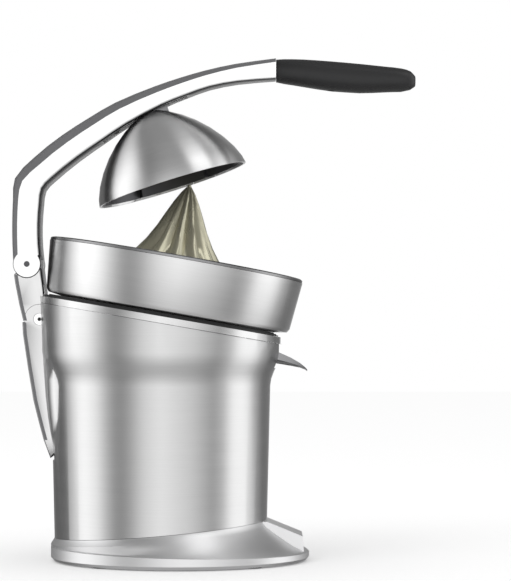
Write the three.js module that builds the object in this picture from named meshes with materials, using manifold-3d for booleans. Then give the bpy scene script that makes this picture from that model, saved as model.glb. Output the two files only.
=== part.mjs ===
// Motor-driven lever citrus press, resting with its lever part-way down.
// Millimetres, +Z up, +X towards the spout. The origin is on the body's axis at table height.
import * as THREE from 'three';
import { mergeVertices } from 'three/addons/utils/BufferGeometryUtils.js';
import Module from 'manifold-3d';

const wasm = await Module();
wasm.setup();

// Clearances
const seatGap = 0.3;          // between touching pieces
const cutOverrun = 2;         // how far a cutting tool runs past its work

const pinSlack = 0.05;        // round a pin that its holder grips

// What the rest follows: the bowl's mouth, and the height where the slanting top starts
const bowlRimRadius = 107.5;
const tiltHeight = 175;

// Body housing, its radii inward from the bowl's and its heights from the slanting top
const rimInset = 5.9;
const rimRadius = bowlRimRadius - rimInset;
const flareInset = 1.4;
const flareRadius = rimRadius - flareInset;
const flareWidening = 8.4;
const tubeTopRadius = flareRadius - flareWidening;
const tubeTaper = 3.6;
const tubeFootRadius = tubeTopRadius - tubeTaper;
const flareDrop = 29;
const flareStart = tiltHeight - flareDrop;  // where the tube widens into the bowl housing
const flareRise = 28;
const bodyTopRise = 61;
const bodyTop = tiltHeight + bodyTopRise;   // top of the uncut housing, above its slanting rim
const sheetWall = 1.6;
const footCutHeight = 27.1;   // the housing's lower edge, on the body's axis
const footCutAngle = 4.75;    // that edge climbs towards the front
const humpInset = 1;
const humpTopReach = rimRadius - humpInset; // rear hump that carries the lever
const humpTopWidth = 105;
const humpDrop = 93;
const humpFoot = tiltHeight - humpDrop;

// Everything above the seam leans forward by this angle about a point on the body's axis
const tiltAngle = 9.8;
const seamLevel = 22.4;       // levels from here on run up the tilted axis
const collarTop = 28.1;
const collarWall = 5.5;
const deckTop = 31;
const deckThickness = 8;
const deckChamfer = 5;
const deckStep = 0.9;         // the chamfer is cut in steps
const deckInset = 2;           // its edge, inside the collar's
const deckNotch = 18;          // depth of the notch for the lever's post

// Bowl, strainer and reamer, on the tilted axis
const bowlSeat = deckTop + seatGap;
const bowlBottom = 33.9;
const bowlTop = 78.6;
const bowlTaper = 4.1;
const bowlFootRadius = bowlRimRadius - bowlTaper;
const bowlSeatInset = 12.4;
const bowlSeatRadius = bowlFootRadius - bowlSeatInset;
const bowlWall = 1.8;
const bowlChamfer = 3.4;
const bowlLip = 1;            // the wall leans out by this much at its mouth
const bowlRimInset = 9.5;
const bowlInnerRadius = bowlRimRadius - bowlRimInset;
const bowlFloor = 32.2;
const bowlPanCorner = 12;
const bowlFootEase = 2;
const trayLip = 2.6;          // the tray's lip covers the edge of the steel side
const trayLipInset = 0.4;
const bowlPanRise = 14;       // height of the bowl's rounded corner above its floor
const bowlWallLean = 4;
const bowlCollarRadius = 15;
const bowlCollarTop = 52;
const outletInset = 21;
const outletOffset = bowlInnerRadius - outletInset;
const outletRadius = 8;
const outletWall = 1.4;
const outletFlange = 1;
const outletBottom = 16;
const strainerInset = 6;
const strainerRadius = bowlInnerRadius - strainerInset;
const strainerTop = 68;
const strainerFloor = 60;
const strainerWall = 1.2;
const strainerSlots = 20;
const strainerRimWidth = 12;
const strainerPlate = strainerRadius - strainerRimWidth;  // a lip on the rim carries the plate
const strainerLip = 3;
const strainerSlotLength = 14;
const strainerSlotWidth = 2.6;
const slotMargin = 1;
const reamerFootRadius = 43;
const reamerFoot = 66;
const reamerTip = 141;
const reamerRibs = 12;
const reamerRibDepthShare = 0.2;
const reamerRibPower = 1.5;    // above 1 the ribs are narrower than the flutes between them
const reamerRibSteps = 6;
const bellWall = 7;            // the reamer's hollow: at its foot, round the bowl's collar, at its roof
const bellStraight = 3;
const bellCollarRoom = 5;
const bellShoulder = 16;
const bellSpindleRoom = 4;
const bellDepth = 22;
const capDepth = 6;            // blunt tip
const capFoot = 2;
const capRadius = 1.6;
const capCrown = 0.6;

// Drive
const spindleRadius = 5;
const spindleTop = 112;
const spindleBottom = -21;
const bushWall = 3;
const bushStand = 2;           // how far a bush stands out of the wall that holds it
const spindleFlangeRadius = 7.4;
const spindleFlange = 2.6;
const outletToCase = 22.5;
const caseRadius = outletOffset - outletToCase;
const caseWall = 3;
const caseFloor = -14;
const caseTop = deckTop - deckThickness - seatGap;
const gearEndRoom = 1.5;
const gearRoom = caseRadius - caseWall - gearEndRoom;
const moduleShare = 0.03;      // the gears fill the case
const gearModule = gearRoom * moduleShare;
const caseShiftShare = 0.344;
const caseShift = gearRoom * caseShiftShare;  // its centre, from the spindle towards the idler
const outputTeeth = 42;
const idlerPinionTeeth = 10;
const idlerTeeth = 36;
const motorPinionTeeth = 8;
const outputGearLevel = 7;
const idlerGearLevel = -5;
const gearFace = 7;
const idlerBearing = 60;      // direction of the idler from the spindle, in degrees
const motorTurn = 107;        // and of the motor from the idler, backwards from that
const gearStand = 1;          // how far a pinion stands past its partner's face
const axleEase = 0.2;
const keyWall = 3.4;
const keyHeight = 5;
const keySides = 6;
const sealHeight = 3;
const shaftStand = 6;         // the motor's shaft, out of its far end
const motorBoreRoom = 1;
const shaftRoom = 2;
const motorModuleShare = 20;
const motorRadius = gearModule * motorModuleShare;
const motorLength = 66;
const shaftCore = 1.2;
const shaftModuleShare = 1.2;
const motorShaftRadius = shaftCore + gearModule * shaftModuleShare;
const switchSize = 14;
const switchDrop = 6;
const switchArm = 3;
const switchBack = 12;
const switchFront = 7;
const switchWell = 8;
const buttonRadius = 2;
const buttonRoom = 1;          // left below the button at the end of its stroke
const pressStroke = 3;

// Spout
const spoutRootInset = 6;
const spoutRoot = outletOffset - spoutRootInset;
const spoutStand = 15.1;      // how far it reaches past the bowl
const spoutReach = bowlRimRadius + spoutStand;
const spoutDrop = 8.5;
const spoutRootHeight = tiltHeight - spoutDrop;
const spoutFall = 8.5;
const spoutTipHeight = spoutRootHeight - spoutFall;
const spoutDepth = 10.5;
const spoutHalfWidth = 15;
const spoutWall = 1.4;
const spoutSideRoom = 1;      // beside and round the spout, in the housing's window
const spoutRoomBelow = 6;
const spoutRoomAbove = 12;
const spoutRoomHalf = spoutHalfWidth + spoutSideRoom;
const spoutPinRise = 5.5;     // above the trough's floor
const spoutPinHeight = spoutRootHeight + spoutPinRise;
const spoutPinInset = 10.6;
const spoutPinOffset = rimRadius - spoutPinInset;
const spoutPinRadius = 2;
const spoutEarWall = 3;       // of the ears round the pin
const earReach = 12;          // the room between the ears, fore and aft of the pin, below and above it
const earFoot = 4;
const earTop = 9;
const troughOverrun = 3;      // the cut that hollows the trough runs out at its top
const cheekBack = 5;          // the pin's cheeks, inside the housing
const cheekThickness = 3;

// Cord inlet
const glandBearing = 152;
const glandHeight = 46;
const glandSkinRise = 1.3;    // the tapering tube is this much wider at the inlet's height
const glandRadius = 5.7;
const glandFlange = 8;
const glandLip = 2;
const glandDepth = 9;
const glandBore = 3;
const glandBarb = 1.4;        // snaps out behind the housing's wall
const glandRoom = 1;

// Base casting
const baseCentre = 16.3;
const baseStand = 0.5;        // how far the base reaches past the bowl, at the front and back
const baseLength = 2 * (bowlRimRadius + baseStand);
const baseNarrowing = 20;
const baseWidth = baseLength - baseNarrowing;
const baseRimHeight = 10;
const baseRimFall = 0.023;
const baseClearance = 1;      // underside above the table
const baseChamfer = 2.5;
const baseEdge = 1;           // easing of the rim's upper edge
const baseLipOutset = 3.5;    // the base's upper lip, round the housing's foot
const baseLipDrop = 5;
const baseSeatOutset = 1.2;
const baseSeatDrop = 1.6;
const baseSag = 1;            // hollow of the skirt below a straight line, low down and higher up
const baseUpperSag = 0.8;
const baseSagShares = [0.33, 0.7];
const coverInset = 24.2;
const coverRadius = tubeFootRadius - coverInset;
const coverHeight = 1.5;
const coverThickness = 2.4;
const footRadius = 7;
const footHeight = 2.7;
const footInset = 6;
const footBearings = [50, -50, 130, -130];
const rampHalfWidth = 25;
const rampGap = 1;            // between the ramp and the housing
const rampRoot = 12;          // how far the ramp starts inside the casting
const rampDraft = 0.8;
const rampSink = 1;
const rampLength = 30.4;
const rampFront = tubeFootRadius + rampLength;
const rampFrontTop = 21.6;

// Lever and its carriers
const clampInset = 7.4;
const clampX = clampInset - bowlRimRadius;  // clamp bolt of the post
const clampRise = 26.2;
const clampZ = tiltHeight + clampRise;
const hingeSetback = 10.6;
const hingeX = clampX - hingeSetback;       // lever pin
const postRise = 40;          // from the clamp bolt up, the height that the post's outline follows
const hingeOverPost = 5.9;
const hingeZ = clampZ + postRise + hingeOverPost;
const leverReach = 324.1;     // from the hinge pin to the end of the grip
const leverRise = 172.7;
const leverHalfWidth = 21;
const hingeRadius = 11.6;
const leverBevel = 3.6;
const endBevel = 0.6;
const tongueHalfWidth = 10;
const clampRadius = 12.3;
const pinRadius = 2.4;
const pinStand = 0.4;         // how far the hinge pin stands out on each side
const boltRadius = 3;
const boltHeadRadius = 4.8;
const boltHeadHeight = 3;
const boltSink = 3.6;
const bracketHalfWidth = 21;
const bracketDrop = 100;      // from the clamp bolt down to the bend at the bracket's foot
const carrierDepth = 20;      // front to back, of the bracket and the post
const carrierBevel = 1.2;
const forkRelief = 0.4;       // between the round ends and the forks that they turn in
const slotSide = 0.6;
const slotHalfWidth = bracketHalfWidth + slotSide;
const frameThickness = 6;
const frameHalfWidth = 24;
const frameFoot = 21;
const frameStand = 9.8;       // its top, above the clamp bolt
const frameHead = clampZ + frameStand;
const tangHalfWidth = 4.5;
const tangDepth = 8;
const tangLength = 84;
const tangRoot = 6;           // how far it starts inside the lever
const tangEndGap = 1;
const gripStartShare = 0.63930886;  // of the lever's reach
const gripStart = hingeX + leverReach * gripStartShare;
const gripHalfWidth = 15;

// Pressing dome, rest position
const domeTilt = -17.4;       // leans back towards the lever's hinge
const domeRadius = 64.4;
const domeHeight = 65.5;
const domePinHalf = 15.5;     // the dome's pin is pushed in from the far side
const domeWall = 1.8;
const domePower = 1.5;        // section: a rounded cone rather than a sphere
const domePinRise = 4.4;      // hinge pin above the dome's crown
const domePinShares = [0.30730345, 0.77476201];  // its place, of the lever's reach and rise
const linerWall = 2.4;
const linerCrown = 9;
const linerInset = 1.5;
const linerRibs = 6;
const saddleHalfWidth = 5;
const channelHalfWidth = 11;
const channelRoof = 4.5;

const frameInset = 6.2;
const frameBack = frameInset - tubeFootRadius;
const frameFront = frameBack + frameThickness;
const tangDrop = 10.3;        // middle of the tang, below the lever's highest point
const gripMiddleHeight = hingeZ + leverRise - tangDrop;
const gripFall = 6.5;
const gripDepth = 25;
const gripDrop = 14;
const screwShare = 0.55;      // its place along the tang
const screwRadius = 1.8;
const screwHeadRadius = 3.4;
const screwHead = 2;
const screwLength = 3.4;      // from the tang down to the screw's head
const bumperShares = [0.2225, 0.662];
const bumperRadius = 3;
const domeSwing = 7.3;        // how far the dome can tip forward on its pin
const domeRoomGap = 0.5;
const tabReach = 15.5;         // tab in front of the saddle that meets the lever's channel
const tabStand = 3.5;
const tabTop = domeHeight + tabStand;
const tabThickness = 4;
const tabLean = 1;
const saddleEarWall = 2.6;
const saddleBack = 9;
const saddleRoot = 12;        // how far its block starts below the crown, before the dome is cut out
const saddleRise = 3;
const domeLipShare = 1.3;     // the rolled lip's thickness, as a share of the wall
const domeLipHeight = 1;
const linerFit = 0.4;
const linerRibSink = 1;       // how deep the ribs are rooted in the liner

const domeSteps = 9;
const linerSteps = 6;
const linerSegments = 20;
const linerRibDepth = 5;
const linerRibWidth = 3;
const linerRibStart = 14;
const roundSegments = 40;
const hiddenSegments = 24;
const smallSegments = 12;
const pinSegments = 20;
const radians = THREE.MathUtils.degToRad;

const leverPoint = (along, up) => [hingeX + leverReach * along, hingeZ + leverRise * up];
const [pinX, pinZ] = leverPoint(...domePinShares);
const domePinLevel = domeHeight + domePinRise;
const domeRimX = pinX - domePinLevel * Math.sin(radians(domeTilt));
const domeRimZ = pinZ - domePinLevel * Math.cos(radians(domeTilt));

// Materials
const metal = (color, roughness) => new THREE.MeshStandardMaterial({ color, roughness, metalness: 1 });
const plain = (color, roughness) => new THREE.MeshStandardMaterial({ color, roughness, metalness: 0 });
const brushedSteel = metal(0xc2c3c4, 0.35);
const castMetal = metal(0xc9cacb, 0.3);
const darkMetal = metal(0x55575a, 0.45);
const polishedMetal = metal(0xd9dadb, 0.12);
const gearPlastic = plain(0xe7e2d2, 0.5);
const blackPlastic = plain(0x1b1b1c, 0.55);
const gripRubber = plain(0x232323, 0.7);
const bronze = metal(0xa77a45, 0.4);

const press = new THREE.Group();
const tiltedGroup = new THREE.Group();
tiltedGroup.rotation.y = radians(tiltAngle);
tiltedGroup.position.z = tiltHeight;
const domeGroup = new THREE.Group();
domeGroup.rotation.y = radians(domeTilt);
domeGroup.position.set(domeRimX, 0, domeRimZ);
press.add(tiltedGroup, domeGroup);

function place(parent, name, shape, material) {
  const mesh = new THREE.Mesh(shape.isBufferGeometry ? shape : toGeometry(shape), material);
  mesh.name = name;
  parent.add(mesh);
  return mesh;
}

// A closed geometry becomes a solid that can be joined and cut.
function toSolid(geometry) {
  const bare = geometry.clone();
  bare.deleteAttribute('normal');
  bare.deleteAttribute('uv');
  const merged = mergeVertices(bare, 1e-4);
  const index = merged.getIndex().array;
  const triangles = [];
  for (let i = 0; i < index.length; i += 3) {
    const [a, b, c] = [index[i], index[i + 1], index[i + 2]];
    if (a !== b && b !== c && a !== c) triangles.push(a, b, c);
  }
  const vertProperties = new Float32Array(merged.getAttribute('position').array);
  const mesh = new wasm.Mesh({ numProp: 3, vertProperties, triVerts: new Uint32Array(triangles) });
  return new wasm.Manifold(mesh);
}

function toGeometry(solid) {
  const mesh = solid.getMesh();
  const geometry = new THREE.BufferGeometry();
  const count = mesh.vertProperties.length / mesh.numProp;
  const positions = new Float32Array(count * 3);
  for (let i = 0; i < count; i++) {
    for (let k = 0; k < 3; k++) positions[i * 3 + k] = mesh.vertProperties[i * mesh.numProp + k];
  }
  geometry.setAttribute('position', new THREE.BufferAttribute(positions, 3));
  geometry.setIndex(new THREE.BufferAttribute(new Uint32Array(mesh.triVerts), 1));
  return geometry;
}

// Revolved about Z from [radius, height] pairs that run anticlockwise round the section.
function revolve(profile, segments = roundSegments) {
  const points = profile.map(([radius, height]) => new THREE.Vector2(radius, height));
  const geometry = new THREE.LatheGeometry(points, segments);
  return geometry.rotateX(Math.PI / 2);
}

const disc = (radius, low, high, segments = roundSegments) =>
  toSolid(revolve([[0, low], [radius, low], [radius, high], [0, high]], segments));

const ring = (outer, inner, low, high, segments = roundSegments) =>
  toSolid(revolve([[inner, low], [outer, low], [outer, high], [inner, high], [inner, low]], segments));

// A cylinder across the press, centred on the middle plane.
const crossPin = (radius, halfLength, x, z, segments = pinSegments) =>
  toSolid(new THREE.CylinderGeometry(radius, radius, 2 * halfLength, segments).translate(x, 0, z));

function block(lowX, highX, halfWidth, lowZ, highZ) {
  const box = new THREE.BoxGeometry(highX - lowX, 2 * halfWidth, highZ - lowZ);
  return toSolid(box.translate((lowX + highX) / 2, 0, (lowZ + highZ) / 2));
}

// A side outline in [x, z], extruded across the press with an optional bevel.
function sidePlate(outline, halfWidth, bevel = 0) {
  const shape = new THREE.Shape(outline.map(([x, z]) => new THREE.Vector2(x, z)));
  const geometry = new THREE.ExtrudeGeometry(shape, {
    depth: 2 * (halfWidth - bevel),
    bevelEnabled: bevel > 0,
    bevelThickness: bevel,
    bevelSize: bevel,
    bevelOffset: -bevel,
    bevelSegments: 2,
    curveSegments: smallSegments,
  });
  return toSolid(geometry.rotateX(Math.PI / 2).translate(0, halfWidth - bevel, 0));
}

// Skins a list of closed rings of equal length; both ends are closed by flat fans.
function loft(rings) {
  const positions = [];
  const index = [];
  const count = rings[0].length;
  for (const points of rings) for (const p of points) positions.push(p.x, p.y, p.z);
  for (let r = 0; r + 1 < rings.length; r++) {
    for (let i = 0; i < count; i++) {
      const a = r * count + i;
      const b = r * count + (i + 1) % count;
      index.push(a, b, b + count, a, b + count, a + count);
    }
  }
  for (const [r, flip] of [[0, true], [rings.length - 1, false]]) {
    const centre = rings[r].reduce((sum, p) => sum.add(p), new THREE.Vector3()).divideScalar(count);
    const middle = positions.length / 3;
    positions.push(centre.x, centre.y, centre.z);
    for (let i = 0; i < count; i++) {
      const a = r * count + i;
      const b = r * count + (i + 1) % count;
      index.push(middle, flip ? b : a, flip ? a : b);
    }
  }
  const geometry = new THREE.BufferGeometry();
  geometry.setAttribute('position', new THREE.Float32BufferAttribute(positions, 3));
  geometry.setIndex(index);
  return geometry;
}

// Moves a solid that was made about the tilted axis into the press's own frame.
const tiltMatrix = new THREE.Matrix4().makeRotationY(radians(tiltAngle)).setPosition(0, 0, tiltHeight);
const untilted = (solid) => toSolid(toGeometry(solid).applyMatrix4(tiltMatrix));

const smooth = (t) => t * t * (3 - 2 * t);

// Body housing: a tapering tube that flares under the bowl, with a hump at the back.
function bodyEnvelope(inset) {
  const steps = 5;
  const outline = [[0, -cutOverrun], [tubeFootRadius - inset, -cutOverrun]];
  for (let i = 0; i <= steps; i++) {
    const share = i / steps;
    const radius = tubeTopRadius + (flareRadius - tubeTopRadius) * smooth(share);
    outline.push([radius - inset, flareStart + flareRise * share]);
  }
  outline.push([rimRadius - inset, bodyTop], [0, bodyTop]);
  return toSolid(revolve(outline)).add(humpSolid(inset));
}

// Height, reach and width of the hump's plan sections, as shares of their sizes at the top.
const humpShares = [
  [0, 0.885, 0.55], [0.07, 0.9, 0.66], [0.15, 0.919, 0.75], [0.25, 0.939, 0.823], [0.36, 0.955, 0.86],
  [0.45, 0.963, 0.885], [0.52, 0.969, 0.93], [0.6, 0.975, 0.975], [1, 1.003, 1],
];

function humpSolid(inset) {
  const rise = bodyTop - humpFoot;
  const inner = tubeFootRadius / 2;
  const fullness = 3.4;
  const steps = 12;
  const rings = humpShares.map(([heightShare, reachShare, widthShare]) => {
    const reach = humpTopReach * reachShare - inset - inner;
    const halfWidth = humpTopWidth / 2 * widthShare - inset;
    const points = [];
    for (let i = 0; i <= steps; i++) {
      const angle = Math.PI * (0.5 - i / steps);
      const along = Math.abs(Math.cos(angle)) ** (2 / fullness);
      const across = Math.sign(Math.sin(angle)) * Math.abs(Math.sin(angle)) ** (2 / fullness);
      const x = -inner - reach * along;
      points.push(new THREE.Vector3(x, halfWidth * across, humpFoot + rise * heightShare));
    }
    return points;
  });
  return toSolid(loft(rings));
}

// Slab cut square to the tilted axis, wide enough to pass the whole body.
const tiltedSlab = (low, high) => untilted(disc(2 * rimRadius, low, high, 8));
const footPlane = () => {
  const size = 4 * rimRadius;
  const box = new THREE.BoxGeometry(size, size, size).translate(0, 0, -size / 2);
  box.rotateY(-radians(footCutAngle)).translate(0, 0, footCutHeight);
  return toSolid(box);
};
const bracketSlot = () => block(-2 * rimRadius, -tubeFootRadius + 2 * sheetWall,
  slotHalfWidth, humpFoot + sheetWall, 2 * bodyTop);

function buildBody() {
  const outer = bodyEnvelope(0);
  const inner = bodyEnvelope(sheetWall);
  const aboveSeam = tiltedSlab(seamLevel, 2 * bodyTop);
  const spoutWindow = block(0, 2 * rimRadius, spoutRoomHalf,
    spoutRootHeight - spoutRoomBelow, spoutPinHeight + spoutRoomAbove);
  const shell = outer.subtract(inner).subtract(aboveSeam).subtract(footPlane())
    .subtract(bracketSlot()).subtract(spoutWindow)
    .subtract(glandSolid(glandRadius + seatGap, 0, 2 * rimRadius));
  const cheek = (half) => block(spoutPinOffset - cheekBack, rimRadius, half,
    spoutPinHeight - cheekBack, spoutPinHeight + cheekBack);
  const pinBore = crossPin(spoutPinRadius + pinSlack, 2 * spoutHalfWidth, spoutPinOffset, spoutPinHeight);
  const cheeks = cheek(spoutRoomHalf + cheekThickness).subtract(cheek(spoutRoomHalf))
    .intersect(bodyEnvelope(sheetWall / 2)).subtract(pinBore);
  place(press, 'body_shell', shell.add(cheeks), brushedSteel);

  const collar = outer.intersect(tiltedSlab(seamLevel + seatGap, collarTop))
    .subtract(untilted(disc(rimRadius - collarWall, 0, 2 * collarTop).translate([deckShift(), 0, 0])))
    .subtract(bracketSlot());
  place(press, 'collar', collar, castMetal);
}

// The body's axis leaves the tilted axis as it climbs.
function deckShift() {
  return -Math.tan(radians(tiltAngle)) * collarTop;
}

function buildDeck() {
  const plugRadius = rimRadius - collarWall - seatGap;
  const plug = disc(plugRadius, deckTop - deckThickness, deckTop).translate([deckShift(), 0, 0]);
  const layer = (inset, top) => bodyEnvelope(inset).intersect(tiltedSlab(collarTop + seatGap, top));
  const plate = layer(deckInset, deckTop - 2 * deckStep)
    .add(layer(deckInset + deckChamfer / 3, deckTop - deckStep))
    .add(layer(deckInset + deckChamfer, deckTop));
  const bush = disc(spindleRadius + bushWall + seatGap, -deckTop, 2 * deckTop, pinSegments);
  const outlet = disc(outletRadius + 2 * seatGap, 0, 2 * deckTop, hiddenSegments)
    .translate([outletOffset, 0, 0]);
  const room = block(-2 * rimRadius, -rimRadius + deckNotch, slotHalfWidth, 0, 2 * bodyTop);
  const deck = plate.add(untilted(plug)).subtract(untilted(bush)).subtract(untilted(outlet)).subtract(room);
  place(press, 'deck', deck, darkMetal);
}

function buildBase() {
  const count = 48;
  const halfLength = baseLength / 2;
  const halfWidth = baseWidth / 2;
  const slope = Math.tan(radians(footCutAngle));
  const rimTop = (x) => baseRimHeight - baseRimFall * (x - baseCentre);
  const ellipse = (inset, height) => (angle) => {
    const x = baseCentre + (halfLength - inset) * Math.cos(angle);
    const y = (halfWidth - inset) * Math.sin(angle);
    return new THREE.Vector3(x, y, height(x));
  };
  const foot = (outset, drop) => (angle) => {
    const x = (tubeFootRadius + outset) * Math.cos(angle);
    const y = (tubeFootRadius + outset) * Math.sin(angle);
    return new THREE.Vector3(x, y, footCutHeight - seatGap + slope * x - drop);
  };
  const between = (low, high, share, sag) => (angle) => {
    const p = low(angle).lerp(high(angle), share);
    p.z -= sag;
    return p;
  };
  const rimEdge = ellipse(baseEdge, (x) => rimTop(x) + baseEdge);
  const lip = foot(baseLipOutset, baseLipDrop);
  const [sagShare, upperSagShare] = baseSagShares;
  const levels = [
    ellipse(baseChamfer, () => baseClearance), ellipse(0, () => baseClearance + baseChamfer),
    ellipse(0, rimTop), rimEdge,
    between(rimEdge, lip, sagShare, baseSag), between(rimEdge, lip, upperSagShare, baseUpperSag), lip,
    foot(baseSeatOutset, baseSeatDrop), foot(baseSeatOutset / 2, 0),
  ];
  const rings = levels.map((level) => {
    const points = [];
    for (let i = 0; i < count; i++) points.push(level(2 * Math.PI * i / count));
    return points;
  });
  const rampBack = tubeFootRadius + rampGap;
  const rampTop = footCutHeight + slope * rampBack - rampGap;
  const ramp = sidePlate([
    [rampBack - rampRoot, baseRimHeight], [rampFront + rampDraft, baseRimHeight - rampSink],
    [rampFront, rampFrontTop], [rampBack, rampTop], [rampBack - rampRoot, rampTop],
  ], rampHalfWidth);
  const coverRecess = disc(coverRadius + seatGap, 0, coverHeight + coverThickness + seatGap);
  let base = toSolid(loft(rings)).add(ramp.subtract(disc(rampBack, 0, 2 * footCutHeight)))
    .subtract(coverRecess);
  const spots = footSpots();
  for (const [x, y] of spots) {
    const recess = disc(footRadius + seatGap, 0, footHeight + seatGap, smallSegments);
    base = base.subtract(recess.translate([x, y, 0]));
  }
  place(press, 'base', base, castMetal);
  place(press, 'base_cover', disc(coverRadius, coverHeight, coverHeight + coverThickness), blackPlastic);
  const names = ['foot_front_left', 'foot_front_right', 'foot_rear_left', 'foot_rear_right'];
  spots.forEach(([x, y], i) => {
    place(press, names[i], disc(footRadius, 0, footHeight, smallSegments).translate([x, y, 0]), gripRubber);
  });
}

// Cord inlet, let into the housing low down at the back on the far side
function glandSolid(radius, low, high, bore) {
  const tube = bore ? ring(radius, bore, low, high, smallSegments) : disc(radius, low, high, smallSegments);
  const matrix = new THREE.Matrix4().makeRotationZ(radians(glandBearing))
    .multiply(new THREE.Matrix4().makeTranslation(0, 0, glandHeight))
    .multiply(new THREE.Matrix4().makeRotationY(Math.PI / 2));
  return toSolid(toGeometry(tube).applyMatrix4(matrix));
}

function buildGland() {
  const skin = tubeFootRadius + glandSkinRise;
  const gland = glandSolid(glandFlange, skin + seatGap, skin + seatGap + glandLip, glandBore)
    .add(glandSolid(glandRadius, skin - glandDepth, skin + seatGap + glandLip / 2, glandBore))
    .add(glandSolid(glandRadius + glandBarb, skin - glandDepth, skin - sheetWall - glandRoom, glandBore));
  place(press, 'cord_gland', gland, blackPlastic);
}

function footSpots() {
  const ringX = baseLength / 2 - footRadius - footInset;
  const ringY = baseWidth / 2 - footRadius - footInset;
  return footBearings.map((degrees) => {
    const angle = radians(degrees);
    return [baseCentre + ringX * Math.cos(angle), ringY * Math.sin(angle)];
  });
}

// Bowl, strainer and reamer, all round the tilted axis
function buildBowl() {
  const rim = bowlRimRadius;
  const panRadius = bowlInnerRadius - bowlPanCorner;
  const outletEdge = panRadius + bowlWall + bowlLip;
  const lipBottom = bowlTop - trayLip;
  const mouth = bowlInnerRadius + bowlLip;
  const shoulder = bowlFloor + bowlPanRise;
  const skin = (gap) => [
    [outletEdge + gap, bowlSeat], [outletEdge + gap, bowlSeat + bowlPanCorner / 4],
    [mouth - bowlWallLean + bowlWall + gap, shoulder - bowlLip], [mouth + bowlWall + gap, lipBottom],
  ];
  const side = toSolid(revolve([
    [bowlSeatRadius, bowlSeat], [bowlFootRadius - bowlFootEase, bowlBottom - bowlFootEase / 2],
    [bowlFootRadius, bowlBottom + bowlFootEase], [rim, lipBottom - seatGap],
    ...skin(seatGap).reverse().map(([r, h], i) => [r, i ? h : h - seatGap]), [bowlSeatRadius, bowlSeat],
  ]));
  place(tiltedGroup, 'juice_bowl', side, brushedSteel);

  const tray = toSolid(revolve([
    ...skin(0), [rim - trayLipInset, lipBottom], [rim - trayLipInset, bowlTop - bowlChamfer / 4],
    [rim - bowlChamfer / 2, bowlTop], [mouth, bowlTop], [mouth - bowlWallLean, shoulder],
    [panRadius, bowlFloor + bowlWall],
    [bowlCollarRadius + bowlWall, bowlFloor + bowlWall], [bowlCollarRadius, bowlCollarTop],
    [bowlCollarRadius - bowlWall, bowlCollarTop], [bowlCollarRadius - bowlWall, bowlSeat],
    [outletEdge, bowlSeat],
  ]));
  const floorTop = bowlFloor + bowlWall;
  const atOutlet = (solid) => solid.translate([outletOffset, 0, 0]);
  const hole = disc(outletRadius + seatGap, 0, bowlTop, hiddenSegments);
  const sink = disc(outletRadius + outletFlange + seatGap, floorTop - outletWall, bowlTop, hiddenSegments);
  place(tiltedGroup, 'juice_tray', tray.subtract(atOutlet(hole)).subtract(atOutlet(sink)), castMetal);
  const tube = disc(outletRadius, outletBottom, floorTop, hiddenSegments)
    .add(disc(outletRadius + outletFlange, floorTop - outletWall + seatGap, floorTop, hiddenSegments))
    .subtract(disc(outletRadius - outletWall, 0, bowlTop, hiddenSegments));
  place(tiltedGroup, 'bowl_outlet', atOutlet(tube), castMetal);
}

function buildStrainer() {
  const wall = strainerWall;
  const wallLean = bowlWallLean / (bowlTop - bowlFloor - bowlPanRise);
  const ledge = bowlInnerRadius + bowlLip - wallLean * (bowlTop - strainerTop + wall) - seatGap;
  const bore = bowlCollarRadius + bowlWall + seatGap;
  let strainer = ring(strainerPlate, bore, strainerFloor, strainerFloor + wall, strainerSlots * 2);
  const slotMiddle = strainerPlate - strainerLip - slotMargin - strainerSlotLength / 2;
  for (let i = 0; i < strainerSlots; i++) {
    const slot = new THREE.BoxGeometry(strainerSlotLength, strainerSlotWidth, 4 * wall);
    slot.translate(slotMiddle, 0, strainerFloor).rotateZ(2 * Math.PI * i / strainerSlots);
    strainer = strainer.subtract(toSolid(slot));
  }
  place(tiltedGroup, 'strainer', strainer, brushedSteel);

  const lipTop = strainerFloor - seatGap;
  const edge = strainerPlate + seatGap;
  const profile = [
    [strainerPlate - strainerLip, lipTop - wall], [edge + wall, lipTop - wall],
    [strainerRadius, strainerTop - wall],
    [ledge, strainerTop - wall], [ledge, strainerTop], [strainerRadius - wall, strainerTop],
    [edge, strainerFloor + wall], [edge, lipTop], [strainerPlate - strainerLip, lipTop],
    [strainerPlate - strainerLip, lipTop - wall],
  ];
  place(tiltedGroup, 'strainer_rim', toSolid(revolve(profile, strainerSlots * 2)), brushedSteel);
}

// Radius and rib strength of the reamer, as shares of its foot radius, up its height
const reamerShares = [
  [0, 1, 0], [0.03, 1, 0.1], [0.1, 0.96, 0.5], [0.2, 0.84, 1], [0.34, 0.66, 1.1], [0.5, 0.5, 1.1],
  [0.66, 0.37, 1], [0.8, 0.25, 0.9], [0.91, 0.14, 0.7], [0.98, 0.05, 0.3],
];

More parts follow.
